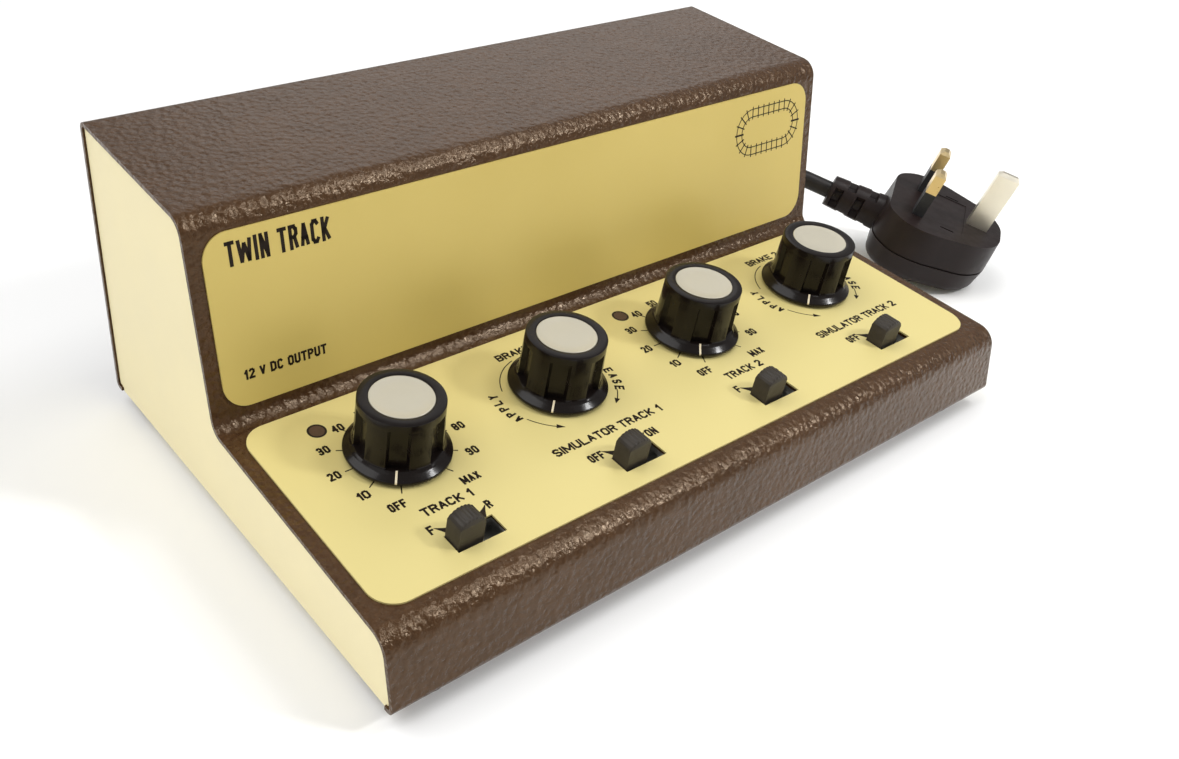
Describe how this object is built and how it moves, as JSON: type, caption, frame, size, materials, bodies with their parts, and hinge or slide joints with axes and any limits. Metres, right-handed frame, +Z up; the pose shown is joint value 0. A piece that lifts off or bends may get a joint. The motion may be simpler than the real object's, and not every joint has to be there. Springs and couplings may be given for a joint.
{
  "type": "train set controller",
  "caption": "Cased model railway controller with rotary throttle and brake knobs, slide switches, indicator lamps, stepped folded steel case and a mains lead with a three-pin plug.",
  "frame": {"origin": "on the surface the feet stand on, at the centre of the case with its rear terminals, the mains lead and plug not counted", "axes": "+X to the right of the control panel, +Y to the back, +Z up"},
  "size_m": [0.3172, 0.2881, 0.0898],
  "materials": {
    "case_paint": "hammered semi-gloss brown",
    "chassis_paint": "smooth satin cream",
    "label_metal": "satin gold yellow with fine brushed look",
    "knob_plastic": "moulded, glossy black",
    "cap_metal": "spun satin",
    "shaft_steel": "turned",
    "pot_case": "plated pressing",
    "plated_steel": "zinc plated",
    "slider_plastic": "matt dark grey",
    "lamp_lens": "dark red, unlit",
    "holder_plastic": "black moulded",
    "foot_rubber": "matt black",
    "core_steel": "varnished laminations",
    "bobbin_plastic": "moulded nylon",
    "winding_copper": "taped winding",
    "board_laminate": "phenolic board",
    "pillar_brass": "machined",
    "sink_aluminium": "extruded",
    "component_black": "moulded black",
    "capacitor_sleeve": "shrink sleeve",
    "cord_sheath": "black flexible sheath",
    "plug_plastic": "black moulded, satin",
    "fuse_ceramic": "ceramic tube"
  },
  "bodies": {
    "root": {"board_pillars": "pillar_brass", "brake_1_pot": "pot_case", "brake_2_pot": "pot_case", "bridge_rectifiers": "component_black", "chassis": "chassis_paint", "circuit_board": "board_laminate", "control_label": "label_metal", "cord_bush": "cord_sheath", "cord_coil": "cord_sheath", "cord_lead": "cord_sheath", "cover": "case_paint", "direction_1_housing": "plated_steel", "direction_2_housing": "plated_steel", "fixing_screws": "plated_steel", "foot_nuts": "plated_steel", "foot_screws": "plated_steel", "heat_sink": "sink_aluminium", "lamp_1": "lamp_lens", "lamp_2": "lamp_lens", "lamp_holders": "holder_plastic", "plug_body": "plug_plastic", "plug_earth_pin": "pillar_brass", "plug_fuse": "fuse_ceramic", "plug_fuse_cover": "plug_plastic", "plug_live_pins": "pillar_brass", "plug_pin_sleeves": "component_black", "plug_relief": "cord_sheath", "pot_nuts": "plated_steel", "pot_washers": "plated_steel", "power_transistors": "component_black", "rubber_feet": "foot_rubber", "simulator_1_housing": "plated_steel", "simulator_2_housing": "plated_steel", "smoothing_capacitors": "capacitor_sleeve", "switch_screws": "plated_steel", "terminal_screws": "plated_steel", "terminal_strip": "holder_plastic", "throttle_1_pot": "pot_case", "throttle_2_pot": "pot_case", "transformer_bobbin": "bobbin_plastic", "transformer_core": "core_steel", "transformer_strap": "plated_steel", "transformer_winding": "winding_copper", "upper_label": "label_metal"},
    "throttle_knob_1": {"throttle_1_knob": "knob_plastic", "throttle_1_cap": "cap_metal", "throttle_1_shaft": "shaft_steel"},
    "brake_knob_1": {"brake_1_knob": "knob_plastic", "brake_1_cap": "cap_metal", "brake_1_shaft": "shaft_steel"},
    "throttle_knob_2": {"throttle_2_knob": "knob_plastic", "throttle_2_cap": "cap_metal", "throttle_2_shaft": "shaft_steel"},
    "brake_knob_2": {"brake_2_knob": "knob_plastic", "brake_2_cap": "cap_metal", "brake_2_shaft": "shaft_steel"},
    "direction_1_switch": {"direction_1_slider": "slider_plastic"},
    "simulator_1_switch": {"simulator_1_slider": "slider_plastic"},
    "direction_2_switch": {"direction_2_slider": "slider_plastic"},
    "simulator_2_switch": {"simulator_2_slider": "slider_plastic"}
  },
  "joints": [
    {"name": "throttle_1_turn", "type": "hinge", "parent": "root", "child": "throttle_knob_1", "pos_m": [-0.07935, -0.02864, 0.02897], "axis": [0, 0.0764, -0.9971], "range_deg": [0, 300]},
    {"name": "brake_1_turn", "type": "hinge", "parent": "root", "child": "brake_knob_1", "pos_m": [-0.02625, -0.02864, 0.02897], "axis": [0, 0.0764, -0.9971], "range_deg": [0, 300]},
    {"name": "throttle_2_turn", "type": "hinge", "parent": "root", "child": "throttle_knob_2", "pos_m": [0.02685, -0.02864, 0.02897], "axis": [0, 0.0764, -0.9971], "range_deg": [0, 300]},
    {"name": "brake_2_turn", "type": "hinge", "parent": "root", "child": "brake_knob_2", "pos_m": [0.07995, -0.02864, 0.02897], "axis": [0, 0.0764, -0.9971], "range_deg": [0, 300]},
    {"name": "direction_1_slide", "type": "slide", "parent": "root", "child": "direction_1_switch", "axis": [1, 0, 0], "range_m": [0, 0.006]},
    {"name": "simulator_1_slide", "type": "slide", "parent": "root", "child": "simulator_1_switch", "axis": [1, 0, 0], "range_m": [0, 0.006]},
    {"name": "direction_2_slide", "type": "slide", "parent": "root", "child": "direction_2_switch", "axis": [1, 0, 0], "range_m": [0, 0.006]},
    {"name": "simulator_2_slide", "type": "slide", "parent": "root", "child": "simulator_2_switch", "axis": [1, 0, 0], "range_m": [0, 0.006]}
  ]
}
